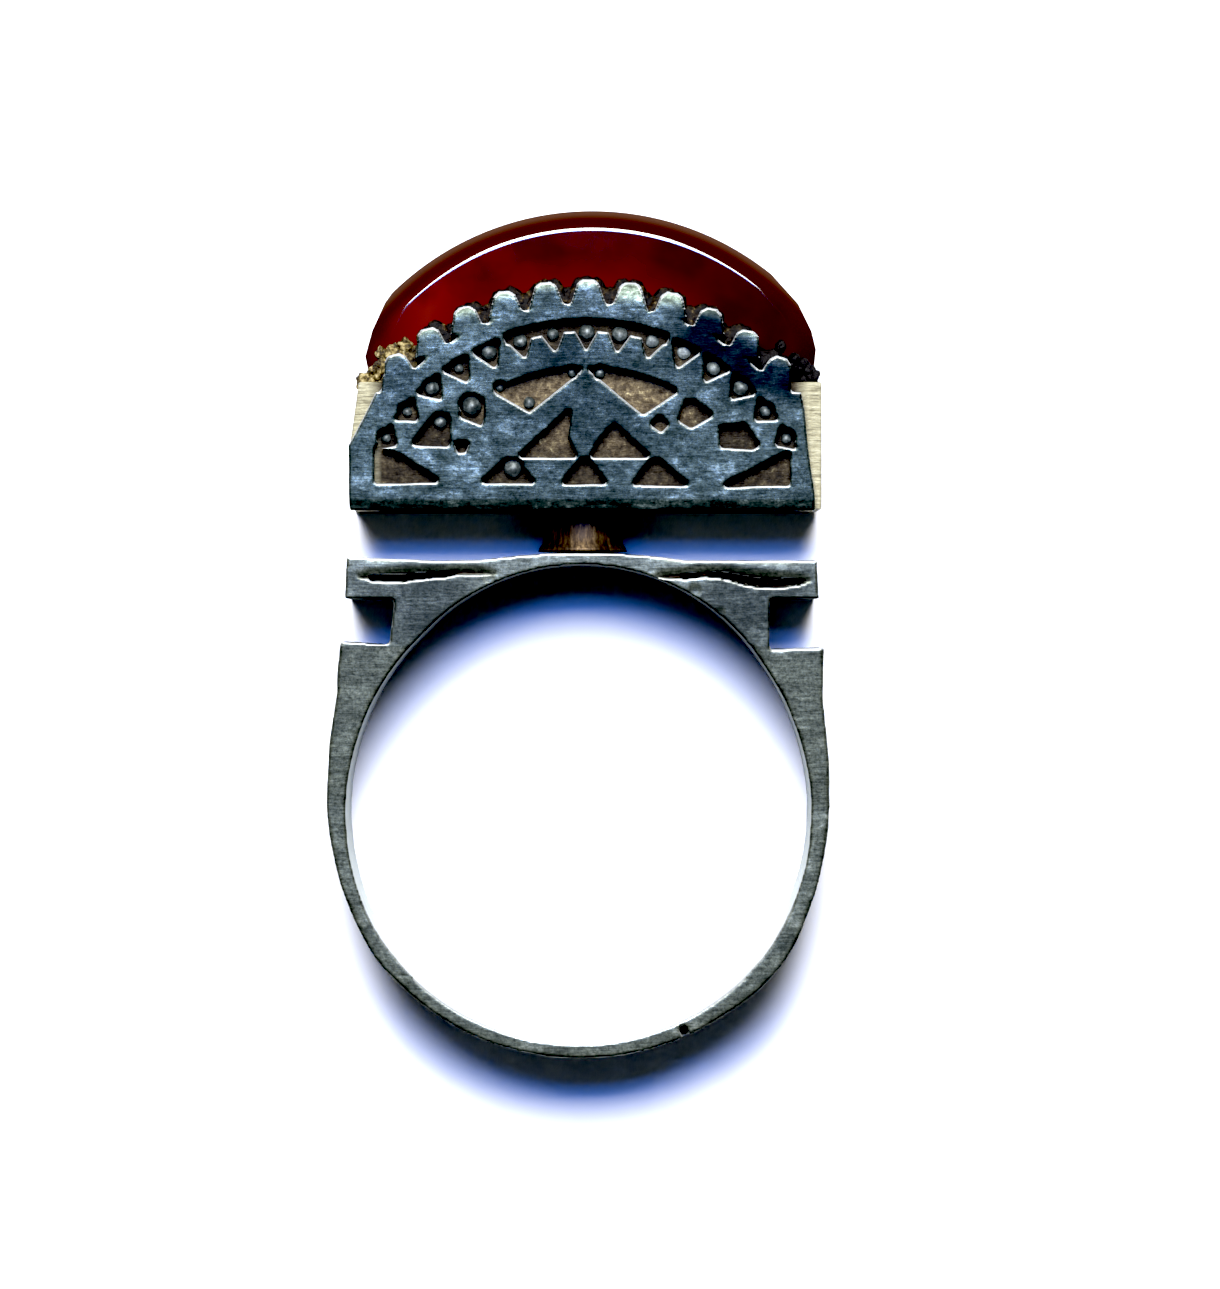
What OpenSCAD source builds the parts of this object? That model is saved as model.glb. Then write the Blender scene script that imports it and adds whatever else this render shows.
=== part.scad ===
// Silver ring that lies on its side: stepped hoop, short neck and a half-round head with a toothed,
// pierced plate in front, a plain one behind and a slab of carnelian held between the two.
// Z = 0 is the surface it lies on, with the origin on the axis of the finger hole. +Y runs from the
// finger hole to the head. Heights below are along Y, from the middle of the finger hole.

/* [Finger hole and hoop] */
// How much larger than life the finger hole is all round
hole_ease = 0; // [-0.1:0.05:0.1]
// How much larger than life the outside of the hoop is all round
hoop_ease = 0; // [-0.05:0.05:0.2]
// Width of the band at the foot of the hoop
foot_band_w = 7.2; // [6.4:0.1:7.6]
// Width of the file nick at the old solder seam
nick_w = 0.24; // [0.1:0.02:0.3]
// Depth of the nick from the outside of the hoop
nick_depth = 0.5; // [0.3:0.05:0.6]

/* [Top strip] */
// Height of the strip's upper edge along its arms
strip_top = 10.46; // [10.42:0.01:10.5]
// Height of the crown of the bump over the finger hole
bump_top = 10.78; // [10.74:0.01:10.8]
// Radius of the bump
bump_r = 30; // [28:1:32]
// Width of the open solder seam under the strip
seam_w = 0.2; // [0.1:0.02:0.26]
// Depth of that seam
seam_depth = 1.6; // [0.5:0.1:2.5]

/* [Neck] */
// Diameter of the post
post_d = 3.3; // [2.6:0.1:3.6]
// Diameter of its flared foot
post_foot_d = 3.8; // [3.7:0.1:4.2]

/* [Head] */
// Depth of the head along the finger
head_depth = 8.4; // [8.2:0.1:8.8]
// Height of the underside of the head
head_bottom = 12.52; // [12.48:0.01:12.6]
// Height of the top of the side walls
wall_top = 18; // [17.9:0.05:18.05]
// Thickness of the silver plates
plate_t = 0.8; // [0.7:0.05:0.85]
// Thickness of the ground sheets behind them
sheet_t = 0.45; // [0.4:0.05:0.5]
// Gap between neighbouring pieces
fit_gap = 0.05; // [0.03:0.01:0.06]

/* [Teeth] */
// Number of teeth
tooth_count = 11; // [7:2:11]
// Angle from tooth tip to tooth tip, about the arc's centre
tooth_pitch = 8.66; // [8.5:0.02:8.7]
// Radius of the tips
tip_r = 12; // [11.8:0.02:12.02]
// Radius of the valleys
valley_r = 10.94; // [10.9:0.02:11]
// How far the teeth are bent in over the stone, in degrees
tooth_bend = 24; // [15:1:26]

/* [Sawtooth arc] */
// Angle from point to point
saw_pitch = 8.35; // [8.2:0.05:8.4]
// Radius of its valleys at the middle
saw_valley_r = 8.95; // [8.9:0.05:9]
// Radius of its lower edge, the top of the field
field_r = 8.2; // [8.1:0.05:8.3]
// Radius of the lower edge of the toothed band
band_r = 10.2; // [10.1:0.05:10.25]

/* [Stone] */
// Height of the top of the stone
stone_top = 25.31; // [25:0.05:25.4]
// Radius of its domed back
stone_dome_r = 12.15; // [12.1:0.05:12.2]
// Rounding of its edges
stone_round = 1.3; // [0.8:0.1:1.6]

/* [Hidden] */

mid_z = head_depth / 2;
// Centre of the arc that the teeth, the sawtooth and the ground sheets share
arc_x = 0.37;
arc_y = 10.39;

// The hole and the hoop are a little out of true. Each arc runs from one direction to another,
// clockwise from +Y, and then come its centre and its radius.
HOLE_ARCS = [
    [-41.6, 51, 0.16, 1.11, 9.09],
    [51, 88.4, -1.19, -0.39, 11.06],
    [88.4, 128, -0.17, -0.3, 10.03],
    [128, 242.6, 0.05, -0.09, 9.98],
    [242.6, 318.4, 0.66, -0.3, 10.44],
];
HOOP_ARCS = [
    [89.7, 116.5, -2.7, 0.26, 13.41],
    [116.5, 144.2, 2.78, -2.4, 7.34],
    [144.2, 234, 0.12, 0.3, 11.04],
    [234, 270.3, 2.45, 0.61, 13.14],
];
// Outline of the shoulders and the strip from the widest point up, on the left and on the right
LEFT_OUTLINE = [
    [-10.68, 0], [-10.66, 0.9], [-10.55, 2.8], [-10.24, 4.8], [-10.21, 5.8], [-10.06, 7.03], [-8, 6.9],
    [-7.79, 8.74], [-9.9, 8.78], [-9.82, 10.6], [-6.3, strip_top],
];
RIGHT_OUTLINE = [
    [10.72, 0], [10.7, 1.9], [10.62, 2.85], [10.44, 4.5], [10.45, 5.8], [10.48, 6.78], [8.16, 6.7],
    [8.16, 8.76], [10.25, 8.78], [10.17, strip_top],
];
// Width of the metal along the finger: height, half width
BAND_ROWS = [
    [-12, foot_band_w / 2],
    [-6, foot_band_w / 2 + 0.15],
    [0, 3.9],
    [4.6, 4.1],
    [6.8, mid_z],
    [12, mid_z],
];
// Slits of the open seam: distance of each end from the middle, and the height there
SEAM_LEFT = [[-8.8, 9.7], [-7.6, 9.68], [-5.2, 9.89]];
SEAM_RIGHT = [[4.4, 9.77], [6, 9.82], [7.9, 9.48], [9.3, 9.52]];
nick_direction = 154.7;

neck_x = 0.2;
// The case stands a little higher than the foot of the plates
case_bottom = head_bottom + 0.08;
case_left = [[case_bottom, -9.6], [15.31, -9.66], [wall_top, -9.29]];
case_right = 10.35;
case_floor_t = 0.8;
inner_left = -8.5;
inner_right = 9.5;
ground_r = 10.45;
ground_z = head_depth - plate_t - fit_gap;
inside_low = plate_t + fit_gap + sheet_t + fit_gap;
inside_high = head_depth - inside_low;

// Side edges of the plates from the foot up: height, left edge, right edge
PLATE_ROWS = [
    [head_bottom, -9.66, 10.1],
    [13.15, -9.72, 10.09],
    [15.30, -9.73, 9.78],
    [16.66, -9, 9.66],
    [17.55, -8.57, 9.5],
    [17.62, -8.35, 8.95],
    [18.25, -8.26, 8.98],
];
// Angle of the first tip, with the row a little right of the arc's middle
first_tip = 0.4 - tooth_pitch * (tooth_count - 1) / 2;
// A tooth's root stands this much further out than its tip, as a share of its angle
root_lean = 1.07;
tooth_root_w = 1.58;
tooth_tip_w = 1;
tooth_shoulder_h = 0.22;

// Openings of the zigzag field, each from its lower left corner on
UPPER_OPENINGS = [
    [[-3.77, 17.72], [-2.03, 16.72], [0.3, 18.6], [-1, 20], [-3.77, 20]],
    [[0.46, 18.52], [2.77, 16.62], [4.34, 17.65], [4.2, 20], [0.6, 20]],
    [[-5.4, 16.7], [-4.04, 16.15], [-3.96, 17.55], [-4.72, 17.72], [-5.44, 17.38]],
    [[4.3, 16.36], [4.81, 16.05], [5.99, 16.72], [5.31, 17.29], [4.55, 17.17]],
    [[3.11, 16.19], [3.54, 15.88], [3.83, 16.19], [3.49, 16.57]],
];
MIDDLE_OPENINGS = [
    [[-2.56, 14.8], [-0.28, 16.87], [-0.44, 15.6], [-0.02, 14.8]],
    [[0.53, 14.8], [0.95, 15.52], [1.55, 16.19], [3.11, 14.8]],
    [[-7.03, 15.33], [-5.46, 15.26], [-5.44, 16.53], [-5.99, 16.66], [-6.5, 16.02]],
    [[6.03, 16.11], [6.08, 15.22], [7.39, 15.14], [7.68, 15.28], [7.13, 16.19]],
    [[-5.19, 15.43], [-5.06, 15.01], [-4.76, 15.01], [-4.61, 15.45]],
];
LOWER_OPENINGS = [
    [[-8.57, 15.2], [-8.57, 13.7], [-5.78, 13.74], [-6.63, 14.31], [-7.56, 14.88]],
    [[8.98, 15.05], [8.98, 13.62], [5.99, 13.55], [7.39, 14.25]],
    [[-4.13, 13.72], [-2.98, 14.71], [-2.69, 14.71], [-1.76, 13.7]],
    [[-0.7, 13.67], [0.19, 14.75], [0.44, 14.75], [1.27, 13.67]],
    [[2.31, 13.65], [3.11, 14.67], [3.45, 14.71], [4.76, 13.59]],
];

// Sawtooth openings each side of the middle one; from the first lost ball to the last, two are empty
saw_reach = 7;
lost_first = 2;
lost_last = 3;
// The valleys come closer to the toothed band with the square of their number
saw_sink = 0.01;
// Half of each opening's upper side, as a share of the pitch
saw_open_share = 0.43;
saw_ball_path_r = 9.72;
saw_ball_r = 0.3;
// Balls in the field: x, height, radius
FIELD_BALLS = [
    [-5.82, 16.3, 0.28],
    [-4.5, 17.0, 0.42],
    [-3.3, 17.75, 0.18],
    [-2.05, 17.12, 0.25],
    [-0.25, 18.4, 0.18],
    [0.95, 18.38, 0.22],
    [-2.72, 14.33, 0.34],
];

stone_mid_x = 0.62;
stone_arc_ends = [-8.0, 8.35];
stone_left = [[-8.74, 20.22], [-9.04, 19.12], [-8.9, 18.45], [-8.5, wall_top + fit_gap]];
stone_right = [[9.75, wall_top + fit_gap], [10.05, 18.6], [10.14, 19.41], [9.95, 20.2], [9.38, 21.36]];

function rows_outline(rows) = concat(
    [for (r = rows) [r[1], r[0]]],
    [for (i = [len(rows) - 1:-1:0]) [rows[i][2], rows[i][0]]]
);
function about_origin(r, a) = [r * sin(a), r * cos(a)];
function on_arc(r, a) = [arc_x, arc_y] + about_origin(r, a);

module on_arc_centre() {
    translate([arc_x, arc_y]) children();
}

// A round block inside a list of arcs, each with its own sector about the origin
module arcs_block(arcs, ease, depth) {
    reach = 20;
    lap = 0.05;
    for (a = arcs) {
        linear_extrude(depth) intersection() {
            translate([a[2], a[3]]) circle(r = a[4] + ease, $fn = 240);
            polygon(concat(
                [[0, 0]],
                [for (i = [0:4]) about_origin(reach, a[0] - lap + (a[1] - a[0] + 2 * lap) * i / 4)]
            ));
        }
    }
}

// Hoop, shoulders, strip and bump as seen along the finger
module shank_block() {
    last = len(RIGHT_OUTLINE) - 1;
    arcs_block(HOOP_ARCS, hoop_ease, head_depth);
    linear_extrude(head_depth) polygon(concat(LEFT_OUTLINE, [for (i = [last:-1:0]) RIGHT_OUTLINE[i]]));
    linear_extrude(head_depth) intersection() {
        translate([neck_x, bump_top - bump_r]) circle(r = bump_r, $fn = 360);
        translate([-5, strip_top - 1]) square([10, 2]);
    }
}

// The room that the band takes along the finger, narrower towards the foot of the hoop
module band_room() {
    half_rows = [for (r = BAND_ROWS) [r[0], -r[1], r[1]]];
    translate([-20, 0, mid_z]) rotate([90, 0, 90]) linear_extrude(40)
        polygon([for (p = rows_outline(half_rows)) [p[1], p[0]]]);
}

// A slit of even width along a few points
module slit(points) {
    lap = 0.05;
    for (i = [0:len(points) - 2]) {
        run = points[i + 1] - points[i];
        translate([points[i][0], points[i][1], 0]) rotate([0, 0, atan2(run[1], run[0])])
            translate([-lap, -seam_w / 2, 0]) cube([norm(run) + 2 * lap, seam_w, seam_depth + 1]);
    }
}

module shank() {
    color("#7f8c92") difference() {
        intersection() {
            shank_block();
            band_room();
        }
        translate([0, 0, -1]) arcs_block(HOLE_ARCS, hole_ease, head_depth + 2);
        translate([0, 0, head_depth - seam_depth]) slit(SEAM_LEFT);
        translate([0, 0, head_depth - seam_depth]) slit(SEAM_RIGHT);
        rotate([0, 0, 90 - nick_direction])
            translate([10.84 - nick_depth, -nick_w / 2, mid_z + foot_band_w / 2 - 1]) cube([1, nick_w, 2]);
    }
}

// Round neck with a flared foot, turned about its own axis
module post() {
    foot = bump_top + fit_gap;
    top = case_bottom - fit_gap;
    flare_h = 0.35;
    color("#6e5138") translate([neck_x, 0, mid_z]) rotate([-90, 0, 0]) rotate_extrude($fn = 96) polygon([
        [0, foot],
        [post_foot_d / 2, foot],
        [post_foot_d / 2, foot + flare_h / 3],
        [post_d / 2, foot + flare_h],
        [post_d / 2, top],
        [0, top],
    ]);
}

// The case as one block: its D-shaped outline right through
module case_block(depth) {
    linear_extrude(depth) polygon(concat(
        [for (p = case_left) [p[1], p[0]]],
        [[case_right, wall_top], [case_right, case_bottom]]
    ));
    linear_extrude(depth) intersection() {
        on_arc_centre() circle(r = ground_r, $fn = 240);
        translate([inner_left, wall_top - 1]) square([inner_right - inner_left, 12]);
    }
}

module case() {
    color("#c9b982") difference() {
        translate([0, 0, plate_t + fit_gap]) case_block(head_depth - 2 * (plate_t + fit_gap));
        translate([inner_left, case_bottom + case_floor_t, inside_low - fit_gap])
            cube([inner_right - inner_left, 20, inside_high - inside_low + 2 * fit_gap]);
    }
}

// Plate without its teeth
module plate_body() {
    top_row = PLATE_ROWS[len(PLATE_ROWS) - 1];
    linear_extrude(plate_t) polygon(rows_outline(PLATE_ROWS));
    linear_extrude(plate_t) intersection() {
        on_arc_centre() circle(r = valley_r, $fn = 240);
        translate([top_row[1], wall_top - 1]) square([top_row[2] - top_row[1], 12]);
    }
}

// One tooth, bent down at its root: Y runs to the tip
module tooth(length, bend) {
    rotate([-bend, 0, 0]) translate([0, 0, -plate_t]) linear_extrude(plate_t) polygon([
        [-tooth_root_w / 2, 0],
        [-tooth_tip_w / 2, length - tooth_shoulder_h],
        [-tooth_tip_w / 4, length],
        [tooth_tip_w / 4, length],
        [tooth_tip_w / 2, length - tooth_shoulder_h],
        [tooth_root_w / 2, 0],
    ]);
}

// The outermost teeth lie over the side walls, so they are bent a quarter as far
module teeth() {
    last = tooth_count - 1;
    for (i = [0:last]) {
        bend = i == 0 || i == last ? tooth_bend / 4 : tooth_bend;
        tip_angle = first_tip + i * tooth_pitch;
        root = on_arc(valley_r - 0.06, tip_angle * root_lean);
        run = on_arc(tip_r, tip_angle) - root;
        translate([root[0], root[1], plate_t]) rotate([0, 0, atan2(run[1], run[0]) - 90])
            tooth(norm(run) / cos(bend), bend);
    }
}

module toothed_plate() {
    plate_body();
    teeth();
}

// Opening between two points of the sawtooth, counted from the middle
module saw_opening(k) {
    valley = saw_valley_r + saw_sink * k * k;
    top = band_r - 0.08;
    polygon([
        on_arc(valley, k * saw_pitch),
        on_arc(top, (k + saw_open_share) * saw_pitch),
        on_arc(top, (k - saw_open_share) * saw_pitch),
    ]);
}

// Narrow channel where the middle points stay short of the toothed band
module short_points_channel() {
    intersection() {
        difference() {
            on_arc_centre() circle(r = band_r, $fn = 240);
            on_arc_centre() circle(r = band_r - 0.42, $fn = 240);
        }
        polygon([[arc_x, arc_y], on_arc(12, -2.4 * saw_pitch), on_arc(13, 0), on_arc(12, 2.4 * saw_pitch)]);
    }
}

module openings() {
    for (k = [-saw_reach:saw_reach]) {
        saw_opening(k);
    }
    short_points_channel();
    intersection() {
        on_arc_centre() circle(r = field_r, $fn = 240);
        for (outline = UPPER_OPENINGS) {
            polygon(outline);
        }
    }
    for (outline = concat(MIDDLE_OPENINGS, LOWER_OPENINGS)) {
        polygon(outline);
    }
}

// Every ball: x, height, radius
BALLS = concat(
    [
        for (k = [-saw_reach:saw_reach])
            if (k < lost_first || k > lost_last)
                concat(on_arc(saw_ball_path_r + saw_sink / 2 * k * k, k * saw_pitch), [saw_ball_r])
    ],
    FIELD_BALLS
);

module front_plate() {
    color("#8a979d") difference() {
        translate([0, 0, head_depth - plate_t]) difference() {
            toothed_plate();
            translate([0, 0, -1]) linear_extrude(plate_t + 2) openings();
        }
        for (b = BALLS) {
            translate([b[0], b[1], ground_z]) cylinder(r = b[2] + fit_gap, h = 2, $fn = 32);
        }
    }
}

module back_plate() {
    color("#7f8c92") translate([0, 0, plate_t]) mirror([0, 0, 1]) toothed_plate();
}

// Balls soldered on the ground sheet: each is a little more than half a ball
module granules() {
    color("#b4bbbb") for (b = BALLS) {
        translate([b[0], b[1], ground_z + fit_gap]) intersection() {
            translate([0, 0, b[2] * 0.6]) sphere(r = b[2], $fn = 32);
            cylinder(r = 1, h = 2, $fn = 32);
        }
    }
}

// Points of the domed back from the left end to the right end
function dome_points(steps) = [
    for (i = [0:steps])
        let (x = stone_arc_ends[0] + (stone_arc_ends[1] - stone_arc_ends[0]) * i / steps)
            [x, stone_top - stone_dome_r + sqrt(pow(stone_dome_r, 2) - pow(x - stone_mid_x, 2))]
];

module stone_outline() {
    polygon(concat(
        [for (i = [len(stone_left) - 1:-1:0]) stone_left[i]],
        dome_points(28),
        [for (i = [len(stone_right) - 1:-1:0]) stone_right[i]]
    ));
}

// Slab whose edges are rounded in a few steps
module stone() {
    half_t = (inside_high - inside_low) / 2;
    steps = 5;
    color("#8c1206") hull() {
        for (i = [0:steps]) {
            turn = 90 * i / steps;
            layer_h = 2 * (half_t - stone_round * (1 - sin(turn)));
            translate([0, 0, mid_z]) linear_extrude(layer_h, center = true)
                offset(delta = -stone_round * (1 - cos(turn))) stone_outline();
        }
    }
}

// Bed of setting cement that fills the case under the stone
module pitch() {
    bed_bottom = case_bottom + case_floor_t + fit_gap;
    color("#5b4022") translate([inner_left + fit_gap, bed_bottom, inside_low])
        cube([inner_right - inner_left - 2 * fit_gap, wall_top - bed_bottom, inside_high - inside_low]);
}

shank();
post();
case();
front_plate();
back_plate();
granules();
stone();
pitch();
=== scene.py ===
import math

import bmesh
import bpy
import numpy
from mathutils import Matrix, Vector, noise


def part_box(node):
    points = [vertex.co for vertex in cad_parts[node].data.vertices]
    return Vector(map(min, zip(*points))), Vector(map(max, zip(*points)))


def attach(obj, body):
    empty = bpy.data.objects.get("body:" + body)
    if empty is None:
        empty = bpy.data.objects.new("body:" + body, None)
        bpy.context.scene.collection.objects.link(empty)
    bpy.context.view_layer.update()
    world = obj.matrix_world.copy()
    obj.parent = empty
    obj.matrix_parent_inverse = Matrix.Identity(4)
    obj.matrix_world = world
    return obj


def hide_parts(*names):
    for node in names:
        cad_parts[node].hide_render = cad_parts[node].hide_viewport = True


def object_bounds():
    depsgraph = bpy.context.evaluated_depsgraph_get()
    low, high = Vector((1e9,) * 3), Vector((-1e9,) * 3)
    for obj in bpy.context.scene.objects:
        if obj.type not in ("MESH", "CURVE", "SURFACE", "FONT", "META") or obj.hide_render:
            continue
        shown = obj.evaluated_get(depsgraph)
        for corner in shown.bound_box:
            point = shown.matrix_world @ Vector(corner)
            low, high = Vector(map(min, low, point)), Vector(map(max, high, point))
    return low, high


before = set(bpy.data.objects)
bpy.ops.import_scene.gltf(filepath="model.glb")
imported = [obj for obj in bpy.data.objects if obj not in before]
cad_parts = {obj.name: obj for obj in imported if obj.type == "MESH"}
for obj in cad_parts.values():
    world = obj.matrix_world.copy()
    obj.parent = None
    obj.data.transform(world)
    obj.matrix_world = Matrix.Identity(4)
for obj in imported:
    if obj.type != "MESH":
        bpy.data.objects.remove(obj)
cad_low, cad_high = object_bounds()

# Hoop, shoulders and top strip
# Silver of about nine tenths, cast, filed flat on both sides and soldered into one piece. The strip is
# coming away from the shoulders along an open seam, and wear has rounded every edge.
MM = 0.001
# The face that the shoulders, the strip and the front plate share
TOP_FACE = cad_high.z
# The two open seams in mm: the upper lip of each and its lower lip, both from left to right
SEAMS = [
    ([
        (-9.45, 9.8), (-8.4, 9.86), (-7.5, 9.92), (-6, 9.97), (-5, 9.99), (-4.2, 9.97), (-3.4, 9.93),
    ], [
        (-9.45, 9.74), (-8.19, 9.5), (-7.46, 9.5), (-6, 9.69), (-5.03, 9.83), (-4.2, 9.83), (-3.4, 9.84),
    ]),
    ([
        (3.2, 9.84), (3.9, 9.85), (4.62, 9.91), (5.26, 9.99), (6.3, 9.96), (7.02, 9.86), (7.73, 9.78),
        (8.43, 9.72), (9.14, 9.68), (9.95, 9.65),
    ], [
        (3.2, 9.72), (3.49, 9.64), (4.62, 9.67), (5.47, 9.73), (6.03, 9.66), (6.53, 9.55), (7.02, 9.38),
        (7.73, 9.25), (8.43, 9.23), (9, 9.31), (9.42, 9.38), (9.95, 9.56),
    ]),
]
# Both lips run out over this length at the ends of a seam
SEAM_TAPER = 0.7
# The strip's face bends down to the seam over this width, by this much at the lip
LIP_WIDTH, LIP_DROP = 0.4, 0.06
# From half that width up the face falls away from the seam by this slope, over at most this length
STRIP_TILT, STRIP_LENGTH = 0.065, 0.8
# How far the seam gapes below the upper lip, and the share of its width where it is deepest. From
# there the lower lip stands up.
SEAM_OPEN = 0.14
SEAM_DEEPEST = 0.62
# Heights in mm above which the metal gives way at a seam, and above which a seam holds dirt
SEAM_FROM, DIRT_FROM = 6, 5
# Knocks beside the right seam and at the left one: place, radius and depth in mm
NICKS = [(4.97, 9.14, 0.3, 0.03), (6.07, 8.22, 0.22, 0.03), (-3.76, 9.65, 0.28, 0.03)]


def linear(code):
    """Linear colour of an sRGB hex value such as '8a9ba0'."""
    channels = [int(code[i:i + 2], 16) / 255 for i in (0, 2, 4)]
    return [*(c / 12.92 if c <= 0.04045 else ((c + 0.055) / 1.055) ** 2.4 for c in channels), 1]


def add(tree, kind, *inputs, output=None, stops=(), **settings):
    """Adds a shader node and gives back its first live output, or the output of that name.

    The settings are made first, because they decide which sockets are live. Then inputs feeds the live
    sockets in their order: each is a value, the socket that feeds it, or None where it stays as it is.
    stops are the places and the hex colours of a colour ramp.
    """
    node = tree.nodes.new("ShaderNode" + kind)
    for name, value in settings.items():
        setattr(node, name, value)
    live = [socket for socket in node.inputs if socket.enabled]
    for socket, value in zip(live, inputs):
        if isinstance(value, bpy.types.NodeSocket):
            tree.links.new(value, socket)
        elif value is not None:
            socket.default_value = value
    if stops:
        elements = node.color_ramp.elements
        elements.remove(elements[0])
        elements[0].position = stops[0][0]
        elements[0].color = linear(stops[0][1])
        for place, code in stops[1:]:
            elements.new(place).color = linear(code)
    if output:
        return node.outputs[output]
    return next(socket for socket in node.outputs if socket.enabled)


def start_material(name):
    """A new material with its tree, its shader and the piece's own coordinates in millimetres."""
    material = bpy.data.materials.new(name)
    material.use_nodes = True
    tree = material.node_tree
    in_metres = add(tree, "TexCoord", output="Object")
    in_mm = add(tree, "Mapping", in_metres, None, None, (1 / MM, 1 / MM, 1 / MM))
    return material, tree, tree.nodes["Principled BSDF"], in_mm


# Width in mm of the tarnish patches, the grain and the scratches, and how much longer than wide the
# patches and the scratches are along X, Y and Z. Real scratches are under 0.02 mm wide, which is too
# fine to show, so they are drawn at 0.09 mm.
TARNISH, TARNISH_RUN = 0.9, (1.5, 1, 1)
GRAIN = 0.16
SCRATCH, SCRATCH_RUN = 0.09, (9, 1, 3)
# Painted shade makes the walls grow darker between these heights in mm, from low on the hoop to the
# shoulders
PALE_WALL, DARK_WALL = -6, 9.5
# An edge is rubbed, and painted light or shade, more and more between these bends, in 1/mm, and a hollow
# that sharp holds dirt
SHARP = (0.8, 3.0)


# Aged silver, filed and worn. Grey with green and blue tarnish in soft patches, fine scratches that run
# across the ring, black sulphide where nothing rubs, and bright metal on the edges that wear. Painted
# highlight lies on the edges that face the lamps, painted shade on those that face away and on the walls.
def aged_silver(name, tarnish_colours, rough, shine, tint, dark_spots):
    """The silver of one piece. shine is the strength of its gloss and tint the gloss's colour.

    dark_spots are places painted darker and duller: centre and radius in mm, and strength.
    """
    material, tree, shader, in_mm = start_material(name)
    patches = add(tree, "Mapping", in_mm, None, None, [1 / run for run in TARNISH_RUN])
    tarnish = add(tree, "TexNoise", patches, 1 / TARNISH, 8, 0.8)
    colour = add(tree, "ValToRGB", tarnish, stops=tarnish_colours)
    grain = add(tree, "TexNoise", in_mm, 1 / GRAIN, 3, 0.8)
    marks = add(tree, "Mapping", in_mm, None, None, [1 / run for run in SCRATCH_RUN])
    scratches = add(tree, "TexNoise", marks, 1 / SCRATCH, 3, 0.8)
    speckle = add(tree, "MapRange", grain, 0.3, 0.7, 0.45, 1.55)
    streak = add(tree, "MapRange", scratches, 0.3, 0.7, 0.5, 1.5)
    tone = add(tree, "Math", speckle, streak, operation="MULTIPLY")
    toned = add(tree, "VectorMath", colour, tone, operation="SCALE")
    # The spots darken the colour, and take the gloss away too
    polish = tone
    flat = add(tree, "VectorMath", in_mm, (1, 1, 0), operation="MULTIPLY")
    for x, y, radius, strength in dark_spots:
        away = add(tree, "VectorMath", flat, (x, y, 0), operation="DISTANCE")
        spot = add(tree, "MapRange", away, radius, radius / 3, 0, strength)
        toned = add(tree, "Mix", spot, toned, linear("080c0e"), data_type="RGBA")
        dull = add(tree, "MapRange", spot, 0, 1, 1, 0.05)
        polish = add(tree, "Math", polish, dull, operation="MULTIPLY")
    # Upright walls get painted shade, which deepens with the height towards the shoulders and the head
    normal = add(tree, "NewGeometry", output="Normal")
    upwards = add(tree, "Math", add(tree, "SeparateXYZ", normal, output="Z"), operation="ABSOLUTE")
    steep = add(tree, "MapRange", upwards, 0.5, 0.15)
    height = add(tree, "SeparateXYZ", in_mm, output="Y")
    wall = add(tree, "ValToRGB", add(tree, "MapRange", height, PALE_WALL, DARK_WALL), stops=[
        (0.0, "8c9290"), (0.4, "656b6b"), (0.8, "3c4244"), (1.0, "262b2d"),
    ])
    walled = add(tree, "Mix", steep, toned, wall, data_type="RGBA")
    # Hollows and seams hold dirt. Edges that face the head, towards the lamps, are worn bright and get a
    # painted highlight, and those that face away get painted shade in black.
    bend = add(tree, "Attribute", attribute_name="wear", output="Fac")
    dirt = add(tree, "Attribute", attribute_name="seam", output="Fac")
    to_head = add(tree, "SeparateXYZ", normal, output="Y")
    edge = add(tree, "MapRange", bend, *SHARP)
    towards_lamps = add(tree, "MapRange", to_head, 0.1, 0.5, 0, 0.75)
    away_from_lamps = add(tree, "MapRange", to_head, 0.1, -0.3, 0, 0.75)
    highlit_edge = add(tree, "Math", edge, towards_lamps, operation="MULTIPLY")
    shaded_edge = add(tree, "Math", edge, away_from_lamps, operation="MULTIPLY")
    outside_seam = add(tree, "MapRange", dirt, 0, 0.5, 1, 0)
    worn_and_highlit = add(tree, "Math", highlit_edge, outside_seam, operation="MULTIPLY")
    hollow = add(tree, "MapRange", bend, -SHARP[0], -SHARP[1])
    for share, code in ((hollow, "101314"), (dirt, "0f0705"), (shaded_edge, "06080a"), (worn_and_highlit, "c8cccc")):
        walled = add(tree, "Mix", share, walled, linear(code), data_type="RGBA")
    tree.links.new(walled, shader.inputs["Base Color"])
    # Dirt and the edges in painted shade have no gloss, and the walls have less of it higher up
    unpolished = add(tree, "Math", dirt, shaded_edge, operation="MAXIMUM")
    clean_gloss = add(tree, "MapRange", unpolished, 0, 1, shine, 0.03)
    gloss = add(tree, "Math", polish, clean_gloss, operation="MULTIPLY")
    higher_up = add(tree, "MapRange", height, PALE_WALL, DARK_WALL, 0, 0.3)
    grime = add(tree, "Math", steep, higher_up, operation="MULTIPLY")
    left_clear = add(tree, "MapRange", grime, 0, 0.3, 1, 0.4)
    smothered = add(tree, "Math", gloss, left_clear, operation="MULTIPLY")
    tree.links.new(smothered, shader.inputs["Specular IOR Level"])
    polished = add(tree, "MapRange", tarnish, 0.3, 0.7, rough + 0.05, rough - 0.05)
    matt = add(tree, "Math", grime, polished, operation="ADD")
    tree.links.new(matt, shader.inputs["Roughness"])
    shader.inputs["Specular Tint"].default_value = linear(tint)
    # Tarnish hides more than half of the bare metal
    shader.inputs["Metallic"].default_value = 0.4
    relief = add(tree, "Math", grain, scratches, operation="ADD")
    tree.links.new(add(tree, "Bump", 1, 0.003 * MM, None, relief), shader.inputs["Normal"])
    return material


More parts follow.
